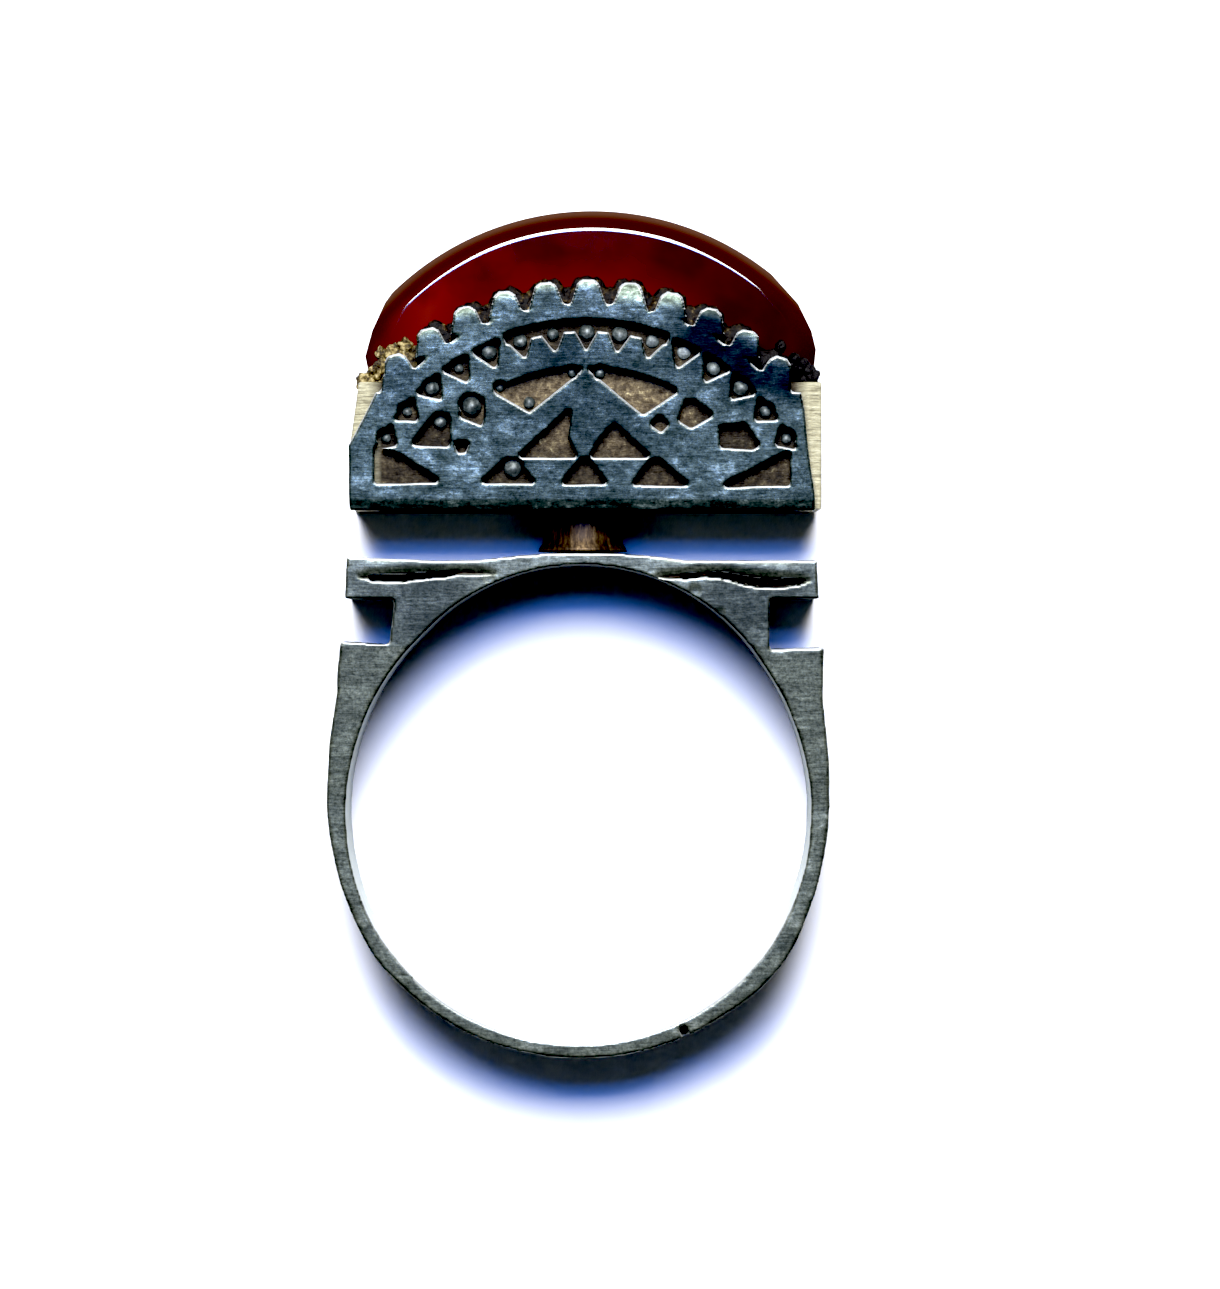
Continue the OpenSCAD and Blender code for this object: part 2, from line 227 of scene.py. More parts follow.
def new_piece(shape, name, material):
    """Makes a piece of a bmesh, smooth all over, which rides on the one body."""
    mesh = bpy.data.meshes.new(name)
    shape.to_mesh(mesh)
    shape.free()
    mesh.materials.append(material)
    mesh.shade_smooth()
    piece = bpy.data.objects.new(name, mesh)
    bpy.context.scene.collection.objects.link(piece)
    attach(piece, "root")
    return piece


def merged_copy(node):
    """The mesh of a node as a bmesh, with the doubles of its loose triangles merged."""
    shape = bmesh.new()
    shape.from_mesh(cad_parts[node].data)
    bmesh.ops.remove_doubles(shape, verts=shape.verts, dist=0.0001 * MM)
    return shape


def apply_modifiers(piece):
    """Gives the piece the mesh that its modifiers make of it."""
    bpy.context.view_layer.update()
    graph = bpy.context.evaluated_depsgraph_get()
    mesh = bpy.data.meshes.new_from_object(piece.evaluated_get(graph))
    piece.modifiers.clear()
    piece.data = mesh
    mesh.shade_smooth()


def soften(piece, grid, passes):
    """Rebuilds the piece on an even grid, in mm, and relaxes it, which rounds its edges as wear does."""
    even = piece.modifiers.new("even grid", "REMESH")
    even.mode = "VOXEL"
    even.voxel_size = grid * MM
    relax = piece.modifiers.new("relax", "SMOOTH")
    relax.factor = 0.5
    relax.iterations = passes
    apply_modifiers(piece)


def thin_out(piece, keep, depth):
    """Thins the mesh out to a share of its faces, all of it below that depth in mm under the top face."""
    group = piece.vertex_groups.new(name="plain part")
    below = TOP_FACE - depth * MM
    group.add([v.index for v in piece.data.vertices if v.co.z < below], 1.0, "REPLACE")
    thin = piece.modifiers.new("thin out", "DECIMATE")
    thin.ratio = keep
    thin.vertex_group = group.name
    apply_modifiers(piece)
    piece.vertex_groups.clear()


def read_mesh(piece):
    """Places in mm and normals of the piece's vertices, as arrays."""
    count = len(piece.data.vertices)
    places, normals = numpy.empty(count * 3), numpy.empty(count * 3)
    piece.data.vertices.foreach_get("co", places)
    piece.data.vertices.foreach_get("normal", normals)
    return places.reshape(-1, 3) / MM, normals.reshape(-1, 3)


def write_mesh(piece, places):
    """Moves the piece's vertices to places in mm."""
    piece.data.vertices.foreach_set("co", (places * MM).ravel())
    piece.data.update()


def dent(piece, depth, across, seed, on_faces=0.2):
    """Sinks edges and sides by up to depth in soft dents about that far across, and faces by a share."""
    places, normals = read_mesh(piece)
    shift = Vector((seed * 7.3, seed * 3.1, seed * 5.7))
    heights = numpy.array([noise.noise(Vector(place) / across + shift) for place in places]) - 1
    share = on_faces + (1 - on_faces) * (1 - normals[:, 2] ** 2)
    write_mesh(piece, places + normals * (heights * depth / 2 * share)[:, None])


def nick(piece, x, y, radius, depth):
    """A knock in the top face, at a place in mm."""
    places, _ = read_mesh(piece)
    away = numpy.hypot(places[:, 0] - x, places[:, 1] - y) / radius
    near_face = places[:, 2] > TOP_FACE / MM - 0.5
    places[:, 2] -= depth * numpy.clip(1 - away ** 2, 0, 1) * near_face
    write_mesh(piece, places)


def mark_wear(piece):
    """Stores at each vertex how sharply the surface bends, in 1/mm: above 0 on edges, below in hollows."""
    mesh = piece.data
    count = len(mesh.vertices)
    places, normals = read_mesh(piece)
    pairs = numpy.empty(len(mesh.edges) * 2, dtype=int)
    mesh.edges.foreach_get("vertices", pairs)
    first, second = pairs.reshape(-1, 2).T
    step = places[second] - places[first]
    run = numpy.maximum((step ** 2).sum(1), 1e-6)
    bend = numpy.bincount(first, -2 * (normals[first] * step).sum(1) / run, count)
    bend += numpy.bincount(second, 2 * (normals[second] * step).sum(1) / run, count)
    links = numpy.bincount(pairs, minlength=count)
    bend /= links
    around = numpy.bincount(first, bend[second], count) + numpy.bincount(second, bend[first], count)
    bend = (bend + around / links) / 2
    mesh.attributes.new("wear", "FLOAT", "POINT").data.foreach_set("value", bend)


def across_seam(x, y, seam):
    """How far places are from a seam's upper lip, as a share of its width, with its width and its taper."""
    upper, lower = numpy.array(seam[0]).T, numpy.array(seam[1]).T
    high, low = numpy.interp(x, *upper), numpy.interp(x, *lower)
    ends = numpy.clip(numpy.minimum(x - upper[0][0], upper[0][-1] - x) / SEAM_TAPER, 0, 1)
    return (high - y) / (high - low), high - low, ends


def open_seams(piece):
    """Bends the strip's face down towards each seam, and opens the seam below it."""
    places, normals = read_mesh(piece)
    for seam in SEAMS:
        share, width, ends = across_seam(places[:, 0], places[:, 1], seam)
        above = numpy.clip(-share * width / LIP_WIDTH, 0, 1)
        beyond = numpy.clip(-share * width - LIP_WIDTH / 2, 0, STRIP_LENGTH)
        bent = LIP_DROP * (1 - above) ** 2 + STRIP_TILT * beyond
        opened = LIP_DROP + SEAM_OPEN * (numpy.clip(share, 0, 1) / SEAM_DEEPEST) ** 1.3
        lip = (LIP_DROP + SEAM_OPEN) * numpy.clip(1 - share, 0, 1) / (1 - SEAM_DEEPEST)
        drop = numpy.where(share < 0, bent, numpy.minimum(opened, lip)) * ends
        on_face = (normals[:, 2] > 0.6) & (places[:, 2] > SEAM_FROM)
        places[:, 2] -= drop * on_face
    write_mesh(piece, places)


def mark_seams(piece):
    """Stores how much dirt lies at each vertex, from 0 to 1.

    It starts just above a seam's upper lip, and ends over the last quarter before the lower one.
    """
    places, _ = read_mesh(piece)
    values = numpy.zeros(len(places))
    for seam in SEAMS:
        share, _, ends = across_seam(places[:, 0], places[:, 1], seam)
        inside = numpy.clip((share + 0.1) / 0.6, 0, 1) * numpy.clip((1 - share) / 0.25, 0, 1)
        values = numpy.maximum(values, inside * ends * (places[:, 2] > DIRT_FROM))
    piece.data.attributes.new("seam", "FLOAT", "POINT").data.foreach_set("value", values)


silver_hoop = aged_silver(
    "filed_cast_silver", [(0.32, "262a24"), (0.45, "393c34"), (0.55, "484c42"), (0.68, "6c7066")],
    rough=0.32, shine=0.29, tint="f6fff2",
    dark_spots=[(-6.6, 8.7, 3.2, 0.65), (7.0, 8.7, 3.2, 0.65), (-9.3, 9.2, 1.6, 0.4), (9.6, 9.2, 1.6, 0.4)],
)
hoop = new_piece(merged_copy("shank"), "silver_hoop", silver_hoop)
soften(hoop, grid=0.08, passes=5)
open_seams(hoop)
dent(hoop, depth=0.05, across=1.5, seed=1)
dent(hoop, depth=0.03, across=0.4, seed=2, on_faces=0)
for x, y, radius, depth in NICKS:
    nick(hoop, x, y, radius, depth)
thin_out(hoop, keep=0.35, depth=1.4)
mark_wear(hoop)
mark_seams(hoop)
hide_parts("shank")

# Neck
# A short round post of copper alloy between the strip and the head, turned with a flared foot and
# soldered at both ends. It has gone brown all round.
NECK_X = 0.2 * MM
NECK_Z = TOP_FACE / 2
NECK_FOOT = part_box("post")[0].y
NECK_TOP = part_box("post")[1].y
# Share of the post's height, and its radius there in mm
NECK_ROWS = [(0.0, 1.9), (0.08, 1.86), (0.2, 1.73), (0.4, 1.65), (0.8, 1.63), (1.0, 1.65)]
TURNED_SIDES = 96
# Width in mm of the patches where the tarnish is thick, and how much longer the grain is along the post
STAIN, GRAIN_RUN = 0.7, 5


# Copper alloy, turned and long unpolished. Dark brown with a red cast, grained along the post, and a
# little brighter where the tarnish is thin.
def brown_copper():
    material, tree, shader, in_mm = start_material("turned_brown_copper")
    along = add(tree, "Mapping", in_mm, None, None, (1, 1 / GRAIN_RUN, 1))
    grain = add(tree, "TexNoise", along, 1 / GRAIN, 4, 0.7)
    stain = add(tree, "TexNoise", in_mm, 1 / STAIN, 4, 0.65)
    colour = add(tree, "ValToRGB", grain, stops=[
        (0.32, "17110b"), (0.48, "3b2f22"), (0.6, "574730"), (0.75, "7d6c54"),
    ])
    stained = add(tree, "MapRange", stain, 0.45, 0.7, 0, 0.7)
    browned = add(tree, "Mix", stained, colour, linear("20170f"), data_type="RGBA")
    tree.links.new(browned, shader.inputs["Base Color"])
    shader.inputs["Metallic"].default_value = 0.75
    shader.inputs["Roughness"].default_value = 0.5
    tree.links.new(add(tree, "Bump", 1, 0.02 * MM, None, grain), shader.inputs["Normal"])
    return material


shape = bmesh.new()
profile = [(0, 0), *NECK_ROWS, (1, 0)]
points = [
    shape.verts.new((NECK_X + radius * MM, NECK_FOOT + share * (NECK_TOP - NECK_FOOT), NECK_Z))
    for share, radius in profile
]
edges = [shape.edges.new(pair) for pair in zip(points, points[1:])]
bmesh.ops.spin(
    shape, geom=points + edges, cent=(NECK_X, 0, NECK_Z), axis=(0, 1, 0), angle=math.tau,
    steps=TURNED_SIDES, use_merge=True,
)
bmesh.ops.remove_doubles(shape, verts=shape.verts, dist=0.001 * MM)
bmesh.ops.recalc_face_normals(shape, faces=shape.faces)
neck = new_piece(shape, "neck", brown_copper())
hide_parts("post")

# Case of the head
# Pale brass sheet and bar: a floor, two side walls and a D-shaped ground sheet behind each plate. The
# walls show file marks, and the ground has gone brown, with bright specks where it is scraped.
# Width in mm of the bevel on every edge
CASE_EDGE = 0.08
# Width in mm of the file marks, how much longer they are across the wall, and the size of the crumbs
# of tarnish. Real file marks are under 0.05 mm wide, so they are drawn a little coarser to show.
FILE_MARK, FILE_RUN = 0.08, 9
CRUMB = 0.3
# The ground is brightest in the middle of the field. Painted shade darkens it between these heights towards
# the foot and between these under the sawtooth, where the plate shades it, and it is darker in both
# wings above the lower row of openings, all in mm.
FOOT_SHADE = (14.2, 16.8)
SAWTOOTH_SHADE = (18.2, 18.9)
DARKER_WING, WING_FOOT = (3.9, 4.9), (14.9, 15.3)
FIELD_MIDDLE = 0.4
# Where the ground ends and the side walls start, in mm
LEFT_WALL, RIGHT_WALL = (-8.3, -8.9), (9.2, 9.8)


# Brass, sawn and filed, then left to tarnish. Cream yellow with fine marks across the side walls, and
# brown and gold in crumbs on the ground sheets.
def pale_brass():
    material, tree, shader, in_mm = start_material("filed_pale_brass")
    across = add(tree, "Mapping", in_mm, None, None, (1 / FILE_RUN, 1, 1 / FILE_RUN))
    file_marks = add(tree, "TexNoise", across, 1 / FILE_MARK, 3, 0.7)
    wall = add(tree, "ValToRGB", file_marks, stops=[
        (0.28, "555140"), (0.42, "7f7a62"), (0.56, "949076"), (0.75, "b5b29a"),
    ])
    crumbs = add(tree, "TexNoise", in_mm, 1 / CRUMB, 6, 0.72)
    ground = add(tree, "ValToRGB", crumbs, stops=[
        (0.34, "1a150e"), (0.45, "30291d"), (0.54, "40382a"), (0.62, "544b37"), (0.72, "8f8767"),
    ])
    x = add(tree, "SeparateXYZ", in_mm, output="X")
    y = add(tree, "SeparateXYZ", in_mm, output="Y")
    # Painted shade darkens the ground towards the foot and under the sawtooth
    above_foot = add(tree, "MapRange", y, *FOOT_SHADE, 0.5, 1.7)
    below_sawtooth = add(tree, "MapRange", y, *SAWTOOTH_SHADE, 1, 0.3)
    field = add(tree, "Math", above_foot, below_sawtooth, operation="MULTIPLY")
    off_middle = add(tree, "Math", x, FIELD_MIDDLE, operation="SUBTRACT")
    out = add(tree, "MapRange", add(tree, "Math", off_middle, operation="ABSOLUTE"), *DARKER_WING, 0, 0.7)
    wing = add(tree, "Math", out, add(tree, "MapRange", y, *WING_FOOT), operation="MULTIPLY")
    outside_wings = add(tree, "MapRange", wing, 0, 1, 1, 0)
    ground_brightness = add(tree, "Math", field, outside_wings, operation="MULTIPLY")
    shaded = add(tree, "VectorMath", ground, ground_brightness, operation="SCALE")
    left = add(tree, "MapRange", x, *LEFT_WALL)
    right = add(tree, "MapRange", x, *RIGHT_WALL)
    on_wall = add(tree, "Math", left, right, operation="MAXIMUM")
    colour = add(tree, "Mix", on_wall, shaded, wall, data_type="RGBA")
    tree.links.new(colour, shader.inputs["Base Color"])
    shader.inputs["Metallic"].default_value = 0.2
    shader.inputs["Specular IOR Level"].default_value = 0.2
    shader.inputs["Roughness"].default_value = 0.5
    relief = add(tree, "Math", crumbs, file_marks, operation="ADD")
    tree.links.new(add(tree, "Bump", 1, 0.05 * MM, None, relief), shader.inputs["Normal"])
    return material


shape = merged_copy("case")
bmesh.ops.dissolve_limit(shape, angle_limit=math.radians(1), verts=shape.verts, edges=shape.edges)
case = new_piece(shape, "brass_case", pale_brass())
rounded = case.modifiers.new("filed edges", "BEVEL")
rounded.width = CASE_EDGE * MM
rounded.segments = 3
rounded.angle_limit = math.radians(40)
apply_modifiers(case)
# The bevels are smooth, and the sheets and walls stay flat
for face in case.data.polygons:
    face.use_smooth = face.area < 0.5 * MM * MM
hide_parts("case")

# Front plate
# Silver sheet, pierced with a saw and filed. Its teeth are bent in over the stone and burnished, and
# its lower edge is rounded over.
PLATE_THICK = 0.8
# Height in mm of the plate's lower edge, and how far up and how deep it is filed off
PLATE_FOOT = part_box("front_plate")[0].y / MM
FOOT_ROUND, FOOT_DROP = 0.5, 0.22
# Teeth, in mm: centre of their arc, radius of root and tip, and half the width and the whole length of
# the stretch that holds a tooth
ARC_X, ARC_Y = 0.37, 10.39
ROOT_R, TIP_R = 10.88, 12.0
TOOTH_HALF, TOOTH_REACH = 0.86, 1.6
# The angle between two tips, that of the middle tip, and how much wider the roots are spread
TOOTH_PITCH = math.radians(8.66)
MIDDLE_TOOTH = math.radians(0.4)
ROOT_LEAN = 1.07
TEETH_EACH_SIDE = 5
# Slope of the teeth before they get their curve, and that of the two outer ones
TOOTH_SLOPE = math.tan(math.radians(24))
OUTER_SLOPE = math.tan(math.radians(6))
# From left to right: how far each tip bends down in mm, and the share of its length where that starts
TOOTH_BENDS = [
    (0.02, 0.6), (0.05, 0.55), (0.07, 0.45), (0.06, 0.5), (0.06, 0.5), (0.06, 0.5),
    (0.16, 0.0), (0.1, 0.25), (0.06, 0.5), (0.05, 0.55), (0.03, 0.5),
]


def round_foot(piece):
    """Bends the lowest stretch of the plate's face down, as a file does, and keeps the face level."""
    places, _ = read_mesh(piece)
    share = numpy.clip(1 - (places[:, 1] - PLATE_FOOT) / FOOT_ROUND, 0, 1)
    places[:, 2] = numpy.minimum(places[:, 2] - FOOT_DROP * share ** 2, TOP_FACE / MM)
    write_mesh(piece, places)


def raise_teeth(piece):
    """Gives the face of each tooth its burnished curve: level at the root, steeper towards the tip."""
    places, _ = read_mesh(piece)
    for number, (tip_drop, bend_from) in enumerate(TOOTH_BENDS, -TEETH_EACH_SIDE):
        turn = MIDDLE_TOOTH + number * TOOTH_PITCH
        lean = turn * ROOT_LEAN
        root = numpy.array((ARC_X + ROOT_R * math.sin(lean), ARC_Y + ROOT_R * math.cos(lean)))
        tip = numpy.array((ARC_X + TIP_R * math.sin(turn), ARC_Y + TIP_R * math.cos(turn)))
        length = numpy.linalg.norm(tip - root)
        way = (tip - root) / length
        out = (places[:, :2] - root) @ way
        side = (places[:, :2] - root) @ numpy.array((way[1], -way[0]))
        slope = TOOTH_SLOPE if abs(number) < TEETH_EACH_SIDE else OUTER_SLOPE
        old = out * slope
        share = numpy.clip(out / length - bend_from, 0, 1.1) / (1 - bend_from)
        depth = TOP_FACE / MM - places[:, 2]
        # The face moves by the whole way, and the underside stays where it lies on the stone
        kept = numpy.clip((old + PLATE_THICK - depth) / PLATE_THICK, 0, 1)
        on_tooth = (out > 0) & (out < TOOTH_REACH) & (abs(side) < TOOTH_HALF)
        level = numpy.minimum(places[:, 2] + on_tooth * kept * old, TOP_FACE / MM)
        places[:, 2] = level - on_tooth * kept * tip_drop * share ** 2
    write_mesh(piece, places)


# The three dark spots at the plate's right are sulphide and painted shade beside the stone's right end; the
# others only darken the plate.
silver_plate = aged_silver(
    "sawn_sheet_silver", [(0.35, "0f1413"), (0.45, "232927"), (0.55, "333b38"), (0.66, "626e6a")],
    rough=0.27, shine=0.09, tint="f0ffcc", dark_spots=[
        (5.6, 19.9, 2.4, 0.92), (7.5, 18.6, 2.2, 0.9), (9.1, 18.0, 1.3, 0.9), (0.4, 17.8, 5.6, 0.4),
        (-0.7, 19.5, 1.8, 0.4), (-7.7, 18.0, 1.8, 0.4),
    ],
)
front = new_piece(merged_copy("front_plate"), "front_plate_pierced", silver_plate)
soften(front, grid=0.062, passes=3)
raise_teeth(front)
dent(front, depth=0.04, across=1.4, seed=3)
dent(front, depth=0.03, across=0.35, seed=4, on_faces=0)
round_foot(front)
thin_out(front, keep=0.78, depth=0.5)
mark_wear(front)
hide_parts("front_plate")

# Back plate
# The same silver sheet with the same teeth as in front, sawn out but not pierced. It is soldered to the
# back of the case, and the ring lies on it.
back = new_piece(merged_copy("back_plate"), "back_plate_plain", silver_hoop)
soften(back, grid=0.12, passes=3)
dent(back, depth=0.04, across=1.4, seed=5)
mark_wear(back)
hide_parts("back_plate")

# Granules
# Small silver balls, melted on a coal and soldered to the ground sheet in the openings. Two have come
# off and left flat scars of solder.
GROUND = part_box("granules")[0].z
SAW_PITCH = math.radians(8.35)
# The balls of the sawtooth sit on this radius, and further out by this with the square of their number
BALL_PATH, BALL_STEP = 9.72, 0.005
# Radius in mm of the ball in each opening of the sawtooth, counted from the middle one
SAW_BALLS = {
    -7: 0.2, -6: 0.2, -5: 0.31, -4: 0.2, -3: 0.34, -2: 0.3, -1: 0.26, 0: 0.34, 1: 0.34, 4: 0.32, 5: 0.34,
    6: 0.26, 7: 0.22,
}
LOST_BALLS = (2, 3)
SCAR_R = 0.28
# Balls of the field: place and radius in mm
FIELD_BALLS = [
    (-5.82, 16.3, 0.28), (-4.5, 17.0, 0.42), (-3.3, 17.75, 0.18), (-2.05, 17.12, 0.25),
    (-0.25, 18.4, 0.2), (0.95, 18.38, 0.24), (-2.72, 14.33, 0.4),
]
# Height of a ball and of a scar as a share of their width
BALL_FLAT, SCAR_FLAT = 0.85, 0.2
# Size in mm of the lumps that make a ball uneven, and of the patches of its skin
UNEVEN = 0.3


# Fine silver, melted into balls. Brighter than the sheet, with a soft grey skin.
def ball_silver():
    material, tree, shader, in_mm = start_material("melted_silver_balls")
    skin = add(tree, "TexNoise", in_mm, 1 / UNEVEN, 4, 0.7)
    colour = add(tree, "ValToRGB", skin, stops=[(0.35, "262b2a"), (0.5, "3f4543"), (0.65, "666d6b")])
    tree.links.new(colour, shader.inputs["Base Color"])
    shader.inputs["Metallic"].default_value = 0.4
    shader.inputs["Roughness"].default_value = 0.5
    tree.links.new(add(tree, "Bump", 1, 0.02 * MM, None, skin), shader.inputs["Normal"])
    return material


def saw_place(number):
    """Where the ball of a sawtooth opening sits, in mm."""
    reach = BALL_PATH + BALL_STEP * number * number
    return ARC_X + reach * math.sin(number * SAW_PITCH), ARC_Y + reach * math.cos(number * SAW_PITCH)


def add_ball(shape, x, y, radius, flat=BALL_FLAT):
    """An uneven, slightly flattened ball that sinks a quarter of its height into the solder."""
    made = bmesh.ops.create_icosphere(shape, subdivisions=3, radius=radius * MM)
    for vertex in made["verts"]:
        vertex.co *= 1 + 0.12 * noise.noise(vertex.co / (UNEVEN * MM) + Vector((x, y, 0)))
    bmesh.ops.scale(shape, verts=made["verts"], vec=(1, 1, flat))
    lift = GROUND + 0.5 * radius * flat * MM
    bmesh.ops.translate(shape, verts=made["verts"], vec=(x * MM, y * MM, lift))


shape = bmesh.new()
for number, radius in SAW_BALLS.items():
    add_ball(shape, *saw_place(number), radius)
for x, y, radius in FIELD_BALLS:
    add_ball(shape, x, y, radius)
for number in LOST_BALLS:
    add_ball(shape, *saw_place(number), SCAR_R, SCAR_FLAT)
balls = new_piece(shape, "granule_balls", ball_silver())
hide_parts("granules")

# Stone
# A half-round slab of carnelian, cut flat on both faces, with its rim rounded and polished. Deep red
# and translucent, brighter at the left, browner in the middle and nearly black towards the right.
STONE_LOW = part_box("stone")[0].z
STONE_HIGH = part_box("stone")[1].z
# The rim is ground this far in from the outline: a tight curve first, in mm with the angle where it
# ends, and then a wider one down to the edge
STONE_ROUND = 0.86
TIGHT_R, TIGHT_TO = 0.44, math.radians(20)
WIDE_R = 2.0
RIM_STEPS = 20
# The domed back in mm: middle, top and radius, and where it starts and ends
DOME_X, DOME_TOP, DOME_R = 0.62, 25.309, 12.15
DOME_FROM, DOME_TO = -7.9, 8.25
DOME_STEPS = 60
LEFT_SIDE = [(-8.5, 18.05), (-8.9, 18.45), (-9.04, 19.12), (-8.74, 20.22), (-8.2, 21.4)]
RIGHT_SIDE = [(9.38, 21.36), (9.95, 20.2), (10.14, 19.41), (10.05, 18.6), (9.75, 18.05)]
# Width in mm of the clouds inside the stone, and where its colour starts and ends from left to right.
# Outwards from the dome's centre come a painted glow above the teeth, which ends towards the right, painted
# shade on the rim where it curves away, and a tan edge painted lighter by the bright paper around it.
CLOUD = 2.2
STONE_LEFT, STONE_RIGHT = -9, 10
GLOW_REACH, GLOW_END = (10.4, 8.6), (6, 3)
RIM_SHADE, TAN_EDGE = (11.2, 11.6), (11.75, 12.05)


# Carnelian, a chalcedony, ground and polished. Its colour lies below a clear gloss. Painted shade darkens
# its rim and a painted glow lights its middle.
def carnelian():
    material, tree, shader, in_mm = start_material("polished_carnelian")
    flat = add(tree, "VectorMath", in_mm, (1, 1, 0), operation="MULTIPLY")
    reach = add(tree, "VectorMath", flat, (DOME_X, DOME_TOP - DOME_R, 0), operation="DISTANCE")
    across = add(tree, "SeparateXYZ", in_mm, output="X")
    colour = add(tree, "ValToRGB", add(tree, "MapRange", across, STONE_LEFT, STONE_RIGHT), stops=[
        (0.0, "30120c"), (0.14, "541a10"), (0.23, "441206"), (0.31, "401206"), (0.5, "3a1609"),
        (0.7, "320f08"), (1.0, "260b09"),
    ])
    clouds = add(tree, "TexNoise", in_mm, 1 / CLOUD, 3, 0.5)
    cloudy = add(tree, "MapRange", clouds, 0.42, 0.62, 0, 0.55)
    # A painted glow above the teeth
    glow = add(tree, "MapRange", reach, *GLOW_REACH)
    left_part = add(tree, "MapRange", across, *GLOW_END)
    painted_glow = add(tree, "Math", glow, left_part, operation="MULTIPLY")
    # Painted shade on the curved rim, and painted light on the tan edge
    rim_shade = add(tree, "MapRange", reach, *RIM_SHADE, 0, 0.9)
    edge = add(tree, "MapRange", reach, *TAN_EDGE, 0, 0.9)
    for share, code in ((cloudy, "1c0302"), (painted_glow, "4a1404"), (rim_shade, "2c0b06"), (edge, "443026")):
        colour = add(tree, "Mix", share, colour, linear(code), data_type="RGBA")
    tree.links.new(colour, shader.inputs["Base Color"])
    shader.inputs["Roughness"].default_value = 0.07
    shader.inputs["IOR"].default_value = 1.54
    return material


def prism(outline, low, high):
    """A straight block over an outline in mm, between two heights in metres."""
    shape = bmesh.new()
    ring = [shape.verts.new((x * MM, y * MM, low)) for x, y in outline]
    face = shape.faces.new(ring)
    grown = bmesh.ops.extrude_face_region(shape, geom=[face])
    top = [v for v in grown["geom"] if isinstance(v, bmesh.types.BMVert)]
    bmesh.ops.translate(shape, verts=top, vec=(0, 0, high - low))
    bmesh.ops.recalc_face_normals(shape, faces=shape.faces)
    return shape


def rim_drop(depth):
    """Turns the depth of a place on a plain round rim into its depth on the ground rim, in mm."""
    run = math.sqrt(max(0, STONE_ROUND ** 2 - (STONE_ROUND - depth) ** 2))
    turn = TIGHT_R * math.sin(TIGHT_TO)
    if run < turn:
        return TIGHT_R - math.sqrt(TIGHT_R ** 2 - run ** 2)
    start = WIDE_R * math.sin(TIGHT_TO)
    wide = WIDE_R * math.cos(TIGHT_TO) - math.sqrt(WIDE_R ** 2 - (run - turn + start) ** 2)
    return TIGHT_R * (1 - math.cos(TIGHT_TO)) + wide


def dome(steps):
    """Points of the domed back from the left end to the right one, in mm."""
    places = [DOME_FROM + (DOME_TO - DOME_FROM) * i / steps for i in range(steps + 1)]
    return [(x, DOME_TOP - DOME_R + math.sqrt(DOME_R ** 2 - (x - DOME_X) ** 2)) for x in places]


shape = prism([*LEFT_SIDE, *dome(DOME_STEPS), *RIGHT_SIDE], STONE_LOW, STONE_HIGH)
rim_edges = [e for e in shape.edges if abs(e.verts[0].co.z - e.verts[1].co.z) < 0.001 * MM]
bmesh.ops.bevel(
    shape, geom=rim_edges, offset=STONE_ROUND * MM, affect="EDGES", segments=RIM_STEPS, profile=0.5,
    material=-1,
)
for vertex in shape.verts:
    for face, way in ((STONE_HIGH, -1), (STONE_LOW, 1)):
        depth = (vertex.co.z - face) * way / MM
        if 0.0001 < depth < STONE_ROUND + 0.001:
            vertex.co.z = face + way * rim_drop(depth) * MM
stone = new_piece(shape, "carnelian_slab", carnelian())
# The two faces stay flat
for face in stone.data.polygons:
    face.use_smooth = abs(face.normal.z) < 0.999
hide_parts("stone")

# Bed of setting pitch
# Brown cement that fills the case below the stone. It was pressed in warm, and it came up between the
# teeth, where it has broken into crumbs.
# Size in mm of the crumbs that its colours show
PITCH_CRUMB = 0.25
# Across the ring, in mm: the gold crumbs end here at the left, the pitch darkens along here and is
# black from here on at the right. That black is partly the pitch's own colour and partly painted shade in
# the corner between the last tooth and the case wall.
GOLD_END, DARKENING, BLACK_END = (-6.6, -7.4), (4.5, 7.5), (7.0, 7.6)
# The pitch that came up along the row of teeth: an arc from its inner to its outer radius in mm,
# which reaches further round each tooth. Out here it is a thin, reddish film.
SQUEEZE_IN, SQUEEZE_OUT = 10.3, 11.75
SQUEEZE_TURN = math.radians(50)
SQUEEZE_RISE = 0.3
HALO = 0.42
HALO_HALF = math.radians(3.6)
THIN_FILM = (12.1, 12.25)
# Steps of its mesh along the arc and across it, and how deep it reaches below the stone's face
SQUEEZE_STEPS = (300, 24)
SQUEEZE_DEPTH = 0.12
# How much the crumbs move its surface and its outer edge, in mm. They come at 45 to the radian and 4.5
# to the mm outwards, so each is about 0.25 mm across, and those of the edge at 60 to the radian.
CRUMB_RISE, RAGGED = 0.2, 0.14
CRUMBS_ROUND, CRUMBS_OUT, EDGE_CRUMBS = 45, 4.5, 60
# The outermost row of the mesh ends this far below the rest, in mm
LAST_ROW = 0.06
# Loose lumps at the stone's two lower corners: place, height above the stone's face and radius in mm
LUMPS = [
    (-8.95, 18.05, 0.05, 0.42), (-8.6, 18.45, 0.12, 0.3), (-8.25, 18.75, 0.1, 0.38),
    (-7.85, 19.2, 0.1, 0.4), (-7.35, 19.5, 0.05, 0.34), (-8.35, 19.3, 0.0, 0.26),
    (9.85, 18.25, 0.0, 0.42), (9.6, 18.7, 0.0, 0.3), (9.2, 18.9, 0.05, 0.3), (8.6, 19.5, 0.0, 0.24),
]
# Lumps are this much lower than wide, and jagged by this share of their radius in steps of this width in mm
LUMP_FLAT = 0.7
JAGGED, JAG_WIDE = 0.5, 0.22


